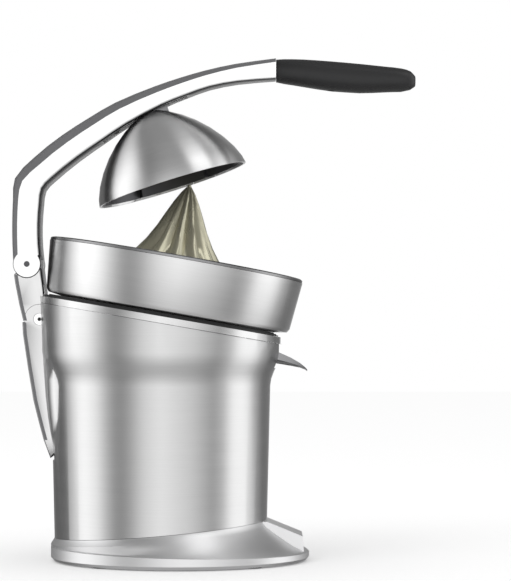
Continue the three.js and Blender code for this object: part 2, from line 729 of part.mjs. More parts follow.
function buildReamer() {
  const around = reamerRibs * reamerRibSteps;
  const rise = reamerTip - reamerFoot;
  const rings = reamerShares.map(([heightShare, radiusShare, ribShare]) => {
    const points = [];
    for (let i = 0; i < around; i++) {
      const angle = 2 * Math.PI * i / around;
      const crest = Math.abs(Math.cos(reamerRibs * angle / 2)) ** reamerRibPower;
      const radius = reamerFootRadius * radiusShare * (1 - reamerRibDepthShare * ribShare * (1 - crest));
      const [x, y] = [radius * Math.cos(angle), radius * Math.sin(angle)];
      points.push(new THREE.Vector3(x, y, reamerFoot + rise * heightShare));
    }
    return points;
  });
  const bellRadius = reamerFootRadius - bellWall;
  const bellRoof = reamerFoot + bellDepth;
  const hollow = toSolid(revolve([
    [0, 0], [bellRadius, 0], [bellRadius, reamerFoot + bellStraight],
    [bowlCollarRadius + bellCollarRoom, reamerFoot + bellShoulder],
    [spindleRadius + bellSpindleRoom, bellRoof], [spindleRadius + seatGap, bellRoof],
    [spindleRadius + seatGap, spindleTop + seatGap], [0, spindleTop + seatGap],
  ], pinSegments));
  const cap = toSolid(revolve([
    [0, reamerTip - capDepth], [capFoot, reamerTip - capDepth], [capRadius, reamerTip],
    [0, reamerTip + capCrown],
  ], smallSegments));
  const reamer = toSolid(loft(rings)).add(cap).subtract(hollow);
  place(tiltedGroup, 'reamer', reamer, polishedMetal);
}

// Tooth form: depth below and height above the pitch circle as shares of the module, and half the
// tooth's width at its root and tip as shares of the pitch
const dedendumShare = 1.25;
const addendumShare = 0.9;
const rootShare = 0.29;
const tipShare = 0.11;

// A spur gear about Z: trapezoid teeth on the pitch circle, with a bore.
function gear(teeth, low, high, bore) {
  const pitch = gearModule * teeth / 2;
  const root = pitch - gearModule * dedendumShare;
  const tip = pitch + gearModule * addendumShare;
  const shape = new THREE.Shape();
  const step = 2 * Math.PI / teeth;
  for (let i = 0; i < teeth; i++) {
    const tooth = [[root, -rootShare], [tip, -tipShare], [tip, tipShare], [root, rootShare]];
    for (const [radius, share] of tooth) {
      const angle = (i + share) * step;
      const [x, y] = [radius * Math.cos(angle), radius * Math.sin(angle)];
      if (i === 0 && share === -rootShare) shape.moveTo(x, y);
      else shape.lineTo(x, y);
    }
  }
  const body = new THREE.ExtrudeGeometry(shape, { depth: high - low, bevelEnabled: false });
  return toSolid(body.translate(0, 0, low))
    .subtract(disc(bore, low - cutOverrun, high + cutOverrun, smallSegments));
}

const centreDistance = (teethA, teethB) => gearModule * (teethA + teethB) / 2;
const polar = (radius, degrees) => [radius * Math.cos(radians(degrees)), radius * Math.sin(radians(degrees))];

// Turns a follower so that one of its gaps faces a tooth of its partner.
function meshed(solid, teeth, bearing, partnerTeeth, partnerTurn = 0) {
  const partnerPhase = ((bearing - partnerTurn) / 360 * partnerTeeth) % 1;
  const phase = 180 + bearing + (0.5 + partnerPhase) * 360 / teeth;
  return { turned: solid.rotate([0, 0, phase]), turn: phase };
}

function buildDrive() {
  const idlerRadius = centreDistance(outputTeeth, idlerPinionTeeth);
  const [idlerX, idlerY] = polar(idlerRadius, idlerBearing);
  const motorGap = centreDistance(idlerTeeth, motorPinionTeeth);
  const motorBearing = idlerBearing - motorTurn;
  const [fromIdlerX, fromIdlerY] = polar(motorGap, motorBearing);
  const motorX = idlerX + fromIdlerX;
  const motorY = idlerY + fromIdlerY;
  const at = (solid, x, y) => solid.translate([x, y, 0]);

  const spindle = disc(spindleRadius, spindleBottom, spindleTop, smallSegments)
    .add(disc(spindleFlangeRadius, caseTop - spindleFlange, caseTop, smallSegments));
  place(tiltedGroup, 'spindle', spindle, polishedMetal);
  const washer = reamerFoot + bellDepth - seatGap;
  const keyBore = disc(spindleRadius + pinSlack, 0, spindleTop, smallSegments);
  const key = disc(spindleRadius + keyWall, washer - keyHeight, washer, keySides).subtract(keyBore);
  place(tiltedGroup, 'drive_key', key, darkMetal);
  const bush = (low, high) => ring(spindleRadius + bushWall, spindleRadius + seatGap, low, high, pinSegments);
  place(tiltedGroup, 'upper_bush', bush(deckTop - deckThickness, deckTop + 2 * bushStand), bronze);
  place(tiltedGroup, 'lower_bush', bush(caseFloor - bushStand, caseFloor + caseWall + bushStand), bronze);
  const sealRadius = bowlCollarRadius - bowlWall - seatGap;
  const seal = ring(sealRadius, spindleRadius + bushWall + seatGap, bowlSeat, deckTop + sealHeight);
  place(tiltedGroup, 'shaft_seal', seal, gripRubber);

  const output = gear(outputTeeth, outputGearLevel, outputGearLevel + gearFace, spindleRadius + seatGap)
    .add(ring(spindleRadius + bushWall, spindleRadius + seatGap,
      caseFloor + caseWall + bushStand + seatGap, outputGearLevel + gearStand, pinSegments));
  place(tiltedGroup, 'output_gear', output, gearPlastic);
  const idlerLow = outputGearLevel - gearStand;
  const idlerTop = outputGearLevel + gearFace + 2 * gearStand;
  const gearBore = motorShaftRadius + pinSlack;
  const idlerPinion = meshed(gear(idlerPinionTeeth, idlerLow, idlerTop, gearBore),
    idlerPinionTeeth, idlerBearing, outputTeeth);
  const idlerGear = gear(idlerTeeth, idlerGearLevel, idlerGearLevel + gearFace, gearBore);
  const hubRadius = gearModule * (idlerPinionTeeth / 2 - 1);
  const hub = ring(hubRadius, gearBore, idlerGearLevel, outputGearLevel, smallSegments);
  const idler = idlerPinion.turned.add(idlerGear).add(hub);
  place(tiltedGroup, 'idler_gear', at(idler, idlerX, idlerY), gearPlastic);
  const axle = disc(motorShaftRadius - axleEase, caseFloor + caseWall + seatGap,
    caseTop - seatGap, smallSegments);
  place(tiltedGroup, 'idler_axle', at(axle, idlerX, idlerY), polishedMetal);
  const pinionLow = idlerGearLevel - gearStand;
  const pinionTop = idlerGearLevel + gearFace + gearStand;
  const motorPinion = meshed(gear(motorPinionTeeth, pinionLow, pinionTop, gearBore),
    motorPinionTeeth, motorBearing, idlerTeeth);
  place(tiltedGroup, 'motor_pinion', at(motorPinion.turned, motorX, motorY), bronze);

  const motorTop = caseFloor - seatGap;
  const shaft = disc(motorShaftRadius - axleEase, motorTop - motorLength - shaftStand,
    pinionLow + gearFace, smallSegments);
  place(tiltedGroup, 'motor_shaft', at(shaft, motorX, motorY), polishedMetal);
  const can = ring(motorRadius, motorShaftRadius + motorBoreRoom, motorTop - motorLength, motorTop);
  place(tiltedGroup, 'motor', at(can, motorX, motorY), darkMetal);

  const wall = revolve([
    [0, caseFloor], [caseRadius, caseFloor], [caseRadius, caseTop], [caseRadius - caseWall, caseTop],
    [caseRadius - caseWall, caseFloor + caseWall], [0, caseFloor + caseWall],
  ], hiddenSegments);
  const shaftHole = disc(motorShaftRadius + shaftRoom, 2 * caseFloor, 0, smallSegments);
  const [caseX, caseY] = polar(caseShift, idlerBearing);
  const bushHole = disc(spindleRadius + bushWall + seatGap, 2 * caseFloor, 0, pinSegments);
  const gearCase = at(toSolid(wall), caseX, caseY).subtract(bushHole)
    .subtract(at(shaftHole, motorX, motorY));
  place(tiltedGroup, 'gear_case', gearCase, blackPlastic);

  const switchTop = spindleBottom - switchDrop;
  const box = block(-switchBack, switchFront, switchSize, switchTop - switchSize, switchTop);
  const arm = block(-switchBack, switchArm - switchBack, switchSize / 2,
    switchTop - switchSize, caseFloor - seatGap);
  const well = disc(buttonRadius + seatGap, switchTop - switchWell, 0, smallSegments);
  place(tiltedGroup, 'start_switch', box.add(arm).subtract(well), blackPlastic);
  const buttonFoot = switchTop - switchWell + pressStroke + buttonRoom;
  const button = disc(buttonRadius, buttonFoot, spindleBottom - seatGap, smallSegments);
  place(tiltedGroup, 'switch_button', button, gripRubber);
}

// Spout: reach, fall, depth and width of its sections, as shares of the whole
const spoutShares = [
  [0, 0, 1, 1], [0.33, 0.1, 1, 1], [0.53, 0.28, 0.93, 1], [0.73, 0.48, 0.66, 0.97], [0.88, 0.66, 0.38, 0.9],
  [0.965, 0.86, 0.2, 0.78], [1, 1.02, 0.15, 0.7],
];

// The trough's section: width of its floor and height of the bend in its side
const spoutFloorShare = 0.72;
const spoutBendShare = 0.35;

// An open trough hung on a cross pin inside the housing, closed at its back
function buildSpout() {
  const reach = spoutReach - spoutRoot;
  const fall = spoutRootHeight - spoutTipHeight;
  const rows = spoutShares;
  const trough = (grow, lift) => toSolid(loft(rows.map(([alongShare, fallShare, depthShare, widthShare]) => {
    const x = spoutRoot + reach * alongShare;
    const low = spoutRootHeight - fall * fallShare;
    const depth = spoutDepth * depthShare + lift;
    const half = spoutHalfWidth * widthShare - grow;
    const bend = depth * spoutBendShare + grow;
    const near = [[half * spoutFloorShare, grow], [half, bend], [half, depth]];
    const section = [...near, ...near.map(([y, z]) => [-y, z]).reverse()];
    return section.map(([y, z]) => new THREE.Vector3(x, y, low + z));
  })));
  const inner = trough(spoutWall, troughOverrun).translate([spoutWall, 0, 0]);
  const ear = crossPin(spoutPinRadius + spoutEarWall, spoutHalfWidth, spoutPinOffset, spoutPinHeight);
  const between = block(spoutPinOffset - earReach, spoutPinOffset + earReach, spoutHalfWidth - spoutWall,
    spoutPinHeight - earFoot, spoutPinHeight + earTop);
  const bore = crossPin(spoutPinRadius + seatGap, 2 * spoutHalfWidth, spoutPinOffset, spoutPinHeight);
  const spout = trough(0, 0).add(ear).subtract(between).subtract(inner).subtract(bore);
  place(press, 'spout', spout, polishedMetal);
  const pin = crossPin(spoutPinRadius, spoutRoomHalf + cheekThickness, spoutPinOffset, spoutPinHeight);
  place(press, 'spout_pin', pin, polishedMetal);
}

// Outlines of the two carriers, from the clamp bolt: forward as shares of the carriers' depth,
// and up as shares of the post's rise or the bracket's drop. Null stands for the frame's face.
const bracketShares = [
  [0.465, -1.152], [0.775, -1.082], [null, -1.012], [null, 0.014], [0.15, 0.014], [-0.4, 0],
  [-0.71, -0.027], [-0.685, -0.122], [-0.475, -0.4], [-0.24, -0.676], [-0.045, -0.832], [0.185, -1.002],
];
const postShares = [
  [0.605, 0.055], [0.605, 0.32], [0.165, 0.52], [0.115, 0.745], [0.04, 1.045], [0.04, 1.095],
  [-0.595, 1.095], [-0.995, 0.96], [-1.065, 0.925], [-1.01, 0.745], [-0.845, 0.32], [-0.675, -0.03],
];
const neckShares = [[0.305, 0.27], [-0.025, 1.07], [-1.07, 1.07], [-0.595, 0.095]];

// Rear carriers: the bracket in the hump's slot, the post clamped in it, and their bolts
function buildRear() {
  const from = (shares, rise) => shares.map(([forward, up]) => [
    forward === null ? frameBack - seatGap : clampX + carrierDepth * forward, clampZ + rise * up,
  ]);
  const bolt = crossPin(boltRadius + pinSlack, 2 * bracketHalfWidth, clampX, clampZ);
  const forkRoom = crossPin(clampRadius + forkRelief, tongueHalfWidth + seatGap, clampX, clampZ);
  const sinkAt = (side) => crossPin(boltHeadRadius + seatGap, boltSink, clampX, clampZ)
    .translate([0, side * bracketHalfWidth, 0]);
  const bracket = sidePlate(from(bracketShares, bracketDrop), bracketHalfWidth, carrierBevel)
    .add(crossPin(clampRadius, bracketHalfWidth, clampX, clampZ))
    .subtract(forkRoom).subtract(bolt)
    .subtract(sinkAt(-1)).subtract(sinkAt(1));
  place(press, 'arm_bracket', bracket, castMetal);

  const frame = block(frameBack, frameFront, frameHalfWidth, frameFoot, frameHead);
  place(press, 'rear_frame', frame, darkMetal);

  const seat = crossPin(clampRadius + seatGap, 2 * bracketHalfWidth, clampX, clampZ);
  const head = crossPin(hingeRadius + seatGap, 2 * bracketHalfWidth, hingeX, hingeZ);
  const tail = crossPin(clampRadius - forkRelief, tongueHalfWidth, clampX, clampZ);
  const tongue = crossPin(hingeRadius - forkRelief, tongueHalfWidth, hingeX, hingeZ);
  const neck = sidePlate(from(neckShares, postRise), tongueHalfWidth);
  const post = sidePlate(from(postShares, postRise), bracketHalfWidth, carrierBevel)
    .subtract(seat).subtract(head)
    .add(tail).add(tongue).add(neck.subtract(block(-2 * rimRadius, 0, bracketHalfWidth, 0, clampZ)))
    .subtract(bolt).subtract(crossPin(pinRadius + pinSlack, 2 * bracketHalfWidth, hingeX, hingeZ));
  place(press, 'arm_post', post, castMetal);

  const inner = bracketHalfWidth - boltSink;
  const face = (radius, side, segments) => crossPin(radius, boltHeadHeight / 2, clampX, clampZ, segments)
    .translate([0, side * (inner + seatGap + boltHeadHeight / 2), 0]);
  const shank = crossPin(boltRadius, inner + boltHeadHeight, clampX, clampZ);
  place(press, 'clamp_bolt', shank.add(face(boltHeadRadius, -1)), darkMetal);
  const nut = face(boltHeadRadius, 1, 6).subtract(bolt);
  place(press, 'clamp_nut', nut, darkMetal);
}

// Lever: back edge and underside in pairs, as shares of its reach and rise from the hinge pin,
// then the width there as a share of the full width and the bevel as a share of the hinge's
const leverShares = [
  [-0.0358, 0, 0.0358, 0, 1, 1.2], [-0.0385, 0.094, 0.0305, 0.094, 1, 1.3],
  [-0.0392, 0.194, 0.0293, 0.194, 1, 1.3],
  [-0.0376, 0.316, 0.033, 0.295, 1, 1.4], [-0.0336, 0.4158, 0.0392, 0.3642, 1, 2.1],
  [0.0167, 0.52, 0.0623, 0.4105, 0.99, 2.4], [0.0864, 0.6248, 0.129, 0.513, 0.96, 2.35],
  [0.157, 0.711, 0.195, 0.6, 0.92, 2.2], [0.2249, 0.785, 0.2552, 0.677, 0.87, 2],
  [0.3271, 0.8645, 0.3456, 0.7696, 0.8, 1.7], [0.395, 0.908, 0.408, 0.818, 0.75, 1.5],
  [0.4567, 0.9415, 0.4681, 0.8582, 0.7, 1.3], [0.5353, 0.974, 0.542, 0.885, 0.64, 1.1],
  [0.6393, 1.0016, 0.6393, 0.9, 0.56, 0.95],
];

// How the section's corners follow its bevel: the back's edge and middle, and the underside's middle
const backShares = [1.1, 0.35];
const underShare = 0.3;
const easeShares = [0.25, 0.3]; // the underside's ease grows with the bevel from a least value

// Section of the lever at one row: bevelled towards the back, eased along the underside.
function leverRing([bx, bz, ux, uz, widthShare, bevelShare]) {
  const depth = Math.hypot(bx - ux, bz - uz);
  const half = leverHalfWidth * widthShare;
  const bevel = leverBevel * bevelShare;
  const ease = leverBevel * Math.min(1, easeShares[0] * bevelShare + easeShares[1]);
  const side = [
    [half - bevel * backShares[0], 0], [half - bevel * backShares[1], bevel * backShares[1]],
    [half, bevel], [half, depth - ease],
    [half - ease * underShare, depth - ease * underShare], [half - ease, depth],
  ];
  const section = [...side, ...side.map(([y, v]) => [-y, v]).reverse()].reverse();
  return section.map(([y, v]) => {
    const share = v / depth;
    return new THREE.Vector3(bx + (ux - bx) * share, y, bz + (uz - bz) * share);
  });
}

// Rows between the listed ones, along smooth curves through them.
function smoothRows(rows, between) {
  const curve = (i, j) => new THREE.CatmullRomCurve3(rows.map((row) => new THREE.Vector3(row[i], row[j], 0)));
  const pairs = [];
  for (let i = 0; i < rows[0].length; i += 2) pairs.push(curve(i, i + 1));
  const count = (rows.length - 1) * between;
  return Array.from({ length: count + 1 }, (_, k) => pairs.flatMap((pair) => {
    const point = pair.getPoint(k / count);
    return [point.x, point.y];
  }));
}

// The channel's roof and mouth also move forward, by these shares of how far they move down.
const channelLeanShares = [0.45, 0.3];

function leverOutline(from, to, roof, below) {
  const rows = leverShares.slice(from, to + 1);
  const [roofShare, belowShare] = channelLeanShares;
  const backs = rows.map(([x, z]) => leverPoint(x, z)).map(([x, z]) => [x + roof * roofShare, z - roof]);
  const unders = rows.map((row) => leverPoint(row[2], row[3]))
    .map(([x, z]) => [x + below * belowShare, z - below]).reverse();
  return [...backs, ...unders];
}


function buildLever() {
  const rows = leverShares
    .map(([bx, bz, ux, uz, ...rest]) => [...leverPoint(bx, bz), ...leverPoint(ux, uz), ...rest]);
  const rings = smoothRows(rows, 2).map(leverRing);
  const endDisc = new THREE.LatheGeometry([
    [0, -leverHalfWidth], [hingeRadius - endBevel, -leverHalfWidth], [hingeRadius, endBevel - leverHalfWidth],
    [hingeRadius, leverHalfWidth - endBevel], [hingeRadius - endBevel, leverHalfWidth], [0, leverHalfWidth],
  ].map(([r, y]) => new THREE.Vector2(r, y)), roundSegments).translate(hingeX, 0, hingeZ);
  const clevis = crossPin(hingeRadius + slotSide, tongueHalfWidth + seatGap, hingeX, hingeZ);
  const neckHalf = 2 * hingeRadius;
  const neckRoom = block(hingeX - neckHalf, hingeX + neckHalf, tongueHalfWidth + seatGap,
    hingeZ - neckHalf, hingeZ);
  const channel = sidePlate(leverOutline(7, 10, channelRoof, cutOverrun * 2), channelHalfWidth);
  const tang = sidePlate(tangOutline(0, 0), tangHalfWidth);
  const domeRoom = new THREE.Matrix4().makeTranslation(pinX, 0, pinZ)
    .multiply(new THREE.Matrix4().makeRotationY(radians(domeTilt + domeSwing)))
    .multiply(new THREE.Matrix4().makeTranslation(0, 0, -domePinLevel));
  const scoop = toSolid(toGeometry(domeSolid(-domeRoomGap, -domeRoomGap)).applyMatrix4(domeRoom));
  const lever = toSolid(loft(rings)).add(toSolid(endDisc))
    .subtract(clevis).subtract(neckRoom).subtract(channel).subtract(scoop).add(tang)
    .subtract(crossPin(pinRadius + pinSlack, 2 * leverHalfWidth, hingeX, hingeZ))
    .subtract(crossPin(pinRadius + pinSlack, 2 * leverHalfWidth, pinX, pinZ)
      .translate([0, 2 * leverHalfWidth - domePinHalf - seatGap, 0]))
    .subtract(gripScrew(screwRadius + pinSlack, screwRadius, 0));
  place(press, 'lever_arm', lever, castMetal);
  place(press, 'hinge_pin', crossPin(pinRadius, leverHalfWidth + pinStand, hingeX, hingeZ), darkMetal);
  place(press, 'dome_pin', crossPin(pinRadius, domePinHalf, pinX, pinZ), darkMetal);

  const [bumperX, bumperZ] = leverPoint(bumperShares[0], bumperShares[1]);
  const bumper = crossPin(bumperRadius, channelHalfWidth - seatGap, bumperX, bumperZ, smallSegments);
  place(press, 'dome_bumper', bumper, gripRubber);
}

const tangMiddle = (share) => gripMiddleHeight - share * gripFall;

// The tang's side view, grown by a gap and longer by an extra length
function tangOutline(gap, extra) {
  const half = tangDepth / 2 + gap;
  const [from, to] = [gripStart - tangRoot, gripStart + tangLength + extra];
  return [
    [from, tangMiddle(0) - half], [to, tangMiddle(1) - half],
    [to, tangMiddle(1) + half], [from, tangMiddle(0) + half],
  ];
}

// Grip sections from front to end: reach, height of the top edge, depth and width shares
const gripShares = [
  [0, 1, 0.76, 0.72], [0.06, 1.003, 0.83, 0.86], [0.2, 1, 0.92, 0.97], [0.4, 0.985, 1, 1],
  [0.6, 0.966, 0.98, 0.97], [0.78, 0.945, 0.86, 0.93], [0.9, 0.93, 0.78, 0.9],
  [0.965, 0.908, 0.62, 0.76], [1, 0.87, 0.34, 0.42],
];
const gripDropShare = 0.13;   // the table's whole fall
const gripSquareness = 0.8;   // power of the section: an oval a little fuller than round

// Screw that holds the grip on its tang, from below; its head starts at the given drop.
function gripScrew(radius, headRadius, headDrop) {
  const level = tangMiddle(screwShare) - tangDepth / 2;
  const shank = disc(radius, level - screwLength, level + tangDepth / 2, smallSegments);
  const head = disc(headRadius, level - screwLength + headDrop, level - screwLength, smallSegments);
  return shank.add(head).translate([gripStart + tangLength * screwShare, 0, 0]);
}

function buildGrip() {
  const top = hingeZ + leverRise;
  const length = hingeX + leverReach - gripStart;
  const around = 20;
  const rings = smoothRows(gripShares, 2).map(([alongShare, topShare, depthShare, widthShare]) => {
    const depth = gripDepth * depthShare;
    const middle = top - gripDrop * (1 - topShare) / gripDropShare - depth / 2;
    const points = [];
    for (let i = 0; i < around; i++) {
      const angle = 2 * Math.PI * i / around;
      const fuller = (value) => Math.sign(value) * Math.abs(value) ** gripSquareness;
      const y = fuller(Math.cos(angle)) * gripHalfWidth * widthShare;
      const z = fuller(Math.sin(angle)) * depth / 2;
      points.push(new THREE.Vector3(gripStart + seatGap + length * alongShare, y, middle + z));
    }
    return points;
  });
  const tangHole = sidePlate(tangOutline(seatGap, tangEndGap), tangHalfWidth + seatGap);
  const screwHole = gripScrew(screwRadius + pinSlack, screwHeadRadius + seatGap, -gripDepth);
  place(press, 'grip', toSolid(loft(rings)).subtract(tangHole).subtract(screwHole), gripRubber);
  place(press, 'grip_screw', gripScrew(screwRadius, screwHeadRadius, -screwHead), darkMetal);
}

// Pressing dome, about its own leaning axis from the middle of its rim
function domeProfile(radius, height, steps) {
  const points = [];
  for (let i = 0; i <= steps; i++) {
    const angle = Math.PI / 2 * i / steps;
    points.push([radius * Math.cos(angle) ** (2 / domePower), height * Math.sin(angle) ** (2 / domePower)]);
  }
  points[steps][0] = 0;
  return points;
}

const domeSolid = (inset, crownInset, segments = roundSegments, steps = domeSteps) =>
  toSolid(revolve([[0, 0], ...domeProfile(domeRadius - inset, domeHeight - crownInset, steps)], segments));

function buildDome() {
  const mouth = disc(domeRadius - domeWall, -cutOverrun, linerInset);
  const inside = domeSolid(domeWall, domeWall);
  const lip = disc(domeRadius - domeLipShare * domeWall, -cutOverrun, domeLipHeight);
  place(domeGroup, 'dome', domeSolid(0, 0).subtract(inside).subtract(lip), brushedSteel);

  const gap = domeWall + seatGap;
  const hollow = domeSolid(gap + linerWall, gap + linerCrown, linerSegments, linerSteps);
  const fit = gap + linerFit;
  let liner = domeSolid(fit, fit, linerSegments, linerSteps).subtract(hollow);
  const ribFit = fit + linerRibSink;
  const [inset, crownInset] = [gap + linerWall + linerRibDepth, gap + linerCrown + linerRibDepth];
  const ribRoom = domeSolid(ribFit, ribFit, linerSegments, linerSteps)
    .subtract(domeSolid(inset, crownInset, linerSegments, linerSteps));
  for (let i = 0; i < linerRibs; i++) {
    const rib = new THREE.BoxGeometry(domeRadius, linerRibWidth, 2 * domeHeight)
      .translate(domeRadius / 2 + linerRibStart, 0, 0);
    liner = liner.add(toSolid(rib.rotateZ(2 * Math.PI * i / linerRibs)).intersect(ribRoom));
  }
  place(domeGroup, 'dome_liner', liner.subtract(mouth), darkMetal);

  const ear = crossPin(pinRadius + saddleEarWall, saddleHalfWidth, 0, domePinLevel);
  const foot = sidePlate([
    [-saddleBack, domeHeight - saddleRoot], [tabReach, domeHeight - saddleRoot], [tabReach, tabTop],
    [tabReach - tabThickness, tabTop], [tabReach - tabThickness - tabLean, domeHeight + saddleRise / 2],
    [tabThickness, domeHeight + saddleRise], [-tabThickness, domeHeight + saddleRise],
    [-saddleBack, domeHeight - tabLean],
  ], saddleHalfWidth);
  const pinBore = crossPin(pinRadius + pinSlack, leverHalfWidth, 0, domePinLevel);
  const saddle = ear.add(foot).subtract(domeSolid(-seatGap, -seatGap)).subtract(pinBore);
  place(domeGroup, 'dome_saddle', saddle, castMetal);
}

buildBody();
buildDeck();
buildBase();
buildGland();
buildBowl();
buildStrainer();
buildReamer();
buildDrive();
buildSpout();
buildRear();
buildLever();
buildGrip();
buildDome();

export default press;
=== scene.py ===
"""Lever citrus press: finishes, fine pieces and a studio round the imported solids."""
import math

import bmesh
import bpy
from mathutils import Matrix, Vector


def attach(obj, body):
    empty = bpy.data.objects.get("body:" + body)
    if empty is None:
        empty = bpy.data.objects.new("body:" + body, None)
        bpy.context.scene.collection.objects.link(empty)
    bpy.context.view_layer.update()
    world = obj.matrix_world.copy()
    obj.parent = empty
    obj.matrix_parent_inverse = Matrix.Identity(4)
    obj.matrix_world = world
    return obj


bl_info = {
    "name": "Lever citrus press",
    "version": (1, 0, 0),
    "blender": (4, 5, 0),
    "location": "View3D > Sidebar > Press",
    "description": "Dresses the citrus press and sets its studio",
    "category": "Object",
}

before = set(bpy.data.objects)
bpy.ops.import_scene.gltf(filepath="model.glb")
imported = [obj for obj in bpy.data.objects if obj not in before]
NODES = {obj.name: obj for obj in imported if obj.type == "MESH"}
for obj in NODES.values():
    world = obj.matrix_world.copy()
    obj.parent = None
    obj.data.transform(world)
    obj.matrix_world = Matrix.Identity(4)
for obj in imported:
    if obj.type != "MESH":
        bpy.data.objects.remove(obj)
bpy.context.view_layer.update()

MM = 0.001

# Axes of what leans: the head above the seam, and the dome
HEAD_TILT = math.radians(9.8)
HEAD_ORIGIN = Vector((0, 0, 0.175))
HEAD = Matrix.Translation(HEAD_ORIGIN) @ Matrix.Rotation(HEAD_TILT, 4, "Y")
DOME_TILT = math.radians(-17.4)
DOME_RIM = Vector((0.0098, 0, 0.3142))
DOME = Matrix.Translation(DOME_RIM) @ Matrix.Rotation(DOME_TILT, 4, "Y")

# The seam is cut slanting through an upright wall, so its rings are upright circles, sheared
SEAM = Matrix(((1, 0, 0, 0), (0, 1, 0, 0),
               (-math.tan(HEAD_TILT), 0, 1 / math.cos(HEAD_TILT), HEAD_ORIGIN.z), (0, 0, 0, 1)))
# Outline of the seal in the seam: radius and height in millimetres
SEAM_SEAL = [(97.5, 22.46), (100.9, 22.46), (100.9, 22.64), (97.5, 22.64)]
SEAL_SEGMENTS = 128

# The clamp bolt's axis in the side view, and how far out the painted shadow in its socket reaches
CLAMP = (-0.1001, 0.2012)
SOCKET_DEPTHS = (0.0202, 0.02075)
SOCKET_SIDES = 6
# Back edges of the two carriers, from the clamp bolt, and half their width, in millimetres; the
# painted dark reflection strips run along them
BRACKET_BACK = [
    (-14.2, -2.7), (-13.7, -12.2), (-9.5, -40), (-4.8, -67.6), (-0.9, -83.2), (3.7, -100.2),
]
POST_BACK = [(-13.5, -1.2), (-16.9, 12.8), (-20.2, 29.8), (-21.3, 37)]
CARRIER_HALF = 21

# Colours of what is seen little or not at all
PLASTIC = (0.03, 0.03, 0.03)
COVER = (0.028, 0.028, 0.029)
RUBBER = (0.02, 0.02, 0.02)
FOOT = (0.02, 0.02, 0.021)
DECK = (0.012, 0.012, 0.013)
SEAL = (0.006, 0.006, 0.006)
# Painted shadow for the clamp bolt's socket
PAINTED_SHADOW_TONE = (0.01, 0.01, 0.01)
NYLON = (0.78, 0.76, 0.68)
BRONZE = (0.42, 0.26, 0.12)


def colour(name, description, default):
    return bpy.props.FloatVectorProperty(
        name=name, description=description, subtype="COLOR", size=3, default=default)


def length(name, description, default):
    return bpy.props.FloatProperty(
        name=name, description=description, default=default, unit="LENGTH", precision=5)


class PressFinish(bpy.types.PropertyGroup):
    """Colours and surface values of the press."""

    steel: colour("Brushed steel", "Drum, collar, strainer and carriers", (0.68, 0.68, 0.68))
    dome: colour("Dome steel", "Satin finish of the dome", (0.80, 0.80, 0.80))
    bowl: colour("Bowl steel", "Brighter brushing of the bowl's side", (0.77, 0.77, 0.77))
    tray: colour("Tray", "Casting inside the bowl and its lip", (0.30, 0.30, 0.305))
    spout: colour("Spout", "Dark chrome of the spout", (0.24, 0.24, 0.245))
    casting: colour("Casting", "Base", (0.80, 0.80, 0.805))
    lever: colour("Lever", "Polished sides of the lever", (0.88, 0.88, 0.88))
    # Band and shade colour the bevels by the way they face: a grey painted reflection on the
    # upper ones, near-black painted shade on the lower ones
    band: colour("Lever band", "Bevels along the lever's upper edge", (0.13, 0.13, 0.135))
    shade: colour("Lever shade", "Bevels along the lever's lower edge", (0.035, 0.035, 0.037))
    saddle: colour("Saddle", "Casting between the dome and the lever", (0.24, 0.24, 0.245))
    grip: colour("Grip", "Soft-touch grip", (0.011, 0.011, 0.012))
    dark: colour("Dark metal", "Pins, dome liner, motor and inner frame", (0.10, 0.10, 0.105))
    reamer: colour("Reamer", "Smoked finish of the reamer", (0.50, 0.48, 0.36))
    brushing: bpy.props.FloatProperty(
        name="Brushing", description="Depth of the brushed lines",
        default=0.08, min=0, max=1)


class PressSizes(bpy.types.PropertyGroup):
    """Sizes of the pieces that are added to the solids."""

    # The dark band is a painted dark reflection: a thin strip along each carrier's back edge
    band_start: length("Band start", "From the carrier's back edge to the dark band", 0.0009)
    band_width: length("Band width", "Width of the dark band", 0.0024)
    band_stand: length("Band stand", "How far the dark band stands out", 0.00006)
    # The socket radius sizes the painted shadow in the clamp bolt's socket
    socket: length("Socket", "Corner radius of the clamp bolt's socket", 0.0017)


class PressStudio(bpy.types.PropertyGroup):
    """Camera."""

    distance: length("Camera distance", "From the middle plane", 1.85)
    height: length("Camera height", "Above the table", 0.184)
    view_height: length("View height", "Height seen at the middle plane", 0.488)
    aim: bpy.props.FloatVectorProperty(
        name="Aim", description="Point in the middle plane", size=3,
        default=(0.0794, 0, 0.2255), subtype="TRANSLATION")


def settings():
    return bpy.context.scene.press_finish


# Node materials


def new_material(name, shader_type="ShaderNodeBsdfPrincipled"):
    material = bpy.data.materials.new(name)
    material.use_nodes = True
    tree = material.node_tree
    tree.nodes.clear()
    output = tree.nodes.new("ShaderNodeOutputMaterial")
    shader = tree.nodes.new(shader_type)
    tree.links.new(shader.outputs[0], output.inputs["Surface"])
    return material, tree, shader


def feed(tree, socket, value):
    """Links the socket to another one, or sets it to a plain value."""
    if isinstance(value, bpy.types.NodeSocket):
        tree.links.new(value, socket)
    else:
        socket.default_value = value


def math_node(tree, operation, *values):
    node = tree.nodes.new("ShaderNodeMath")
    node.operation = operation
    for socket, value in zip(node.inputs, values):
        feed(tree, socket, value)
    return node.outputs[0]


def split_node(tree, vector):
    node = tree.nodes.new("ShaderNodeSeparateXYZ")
    tree.links.new(vector, node.inputs[0])
    return node.outputs


def join_node(tree, x, y):
    node = tree.nodes.new("ShaderNodeCombineXYZ")
    tree.links.new(x, node.inputs[0])
    tree.links.new(y, node.inputs[1])
    return node.outputs[0]


def coordinates(tree):
    return tree.nodes.new("ShaderNodeTexCoord").outputs


def place_coordinates(tree, matrix):
    """Coordinates of the piece about its own axis: X, Y across and Z along it."""
    mapping = tree.nodes.new("ShaderNodeMapping")
    mapping.vector_type = "POINT"
    inverse = matrix.inverted()
    mapping.inputs["Location"].default_value = inverse.to_translation()
    mapping.inputs["Rotation"].default_value = inverse.to_euler()
    tree.links.new(coordinates(tree)["Object"], mapping.inputs["Vector"])
    return split_node(tree, mapping.outputs[0])


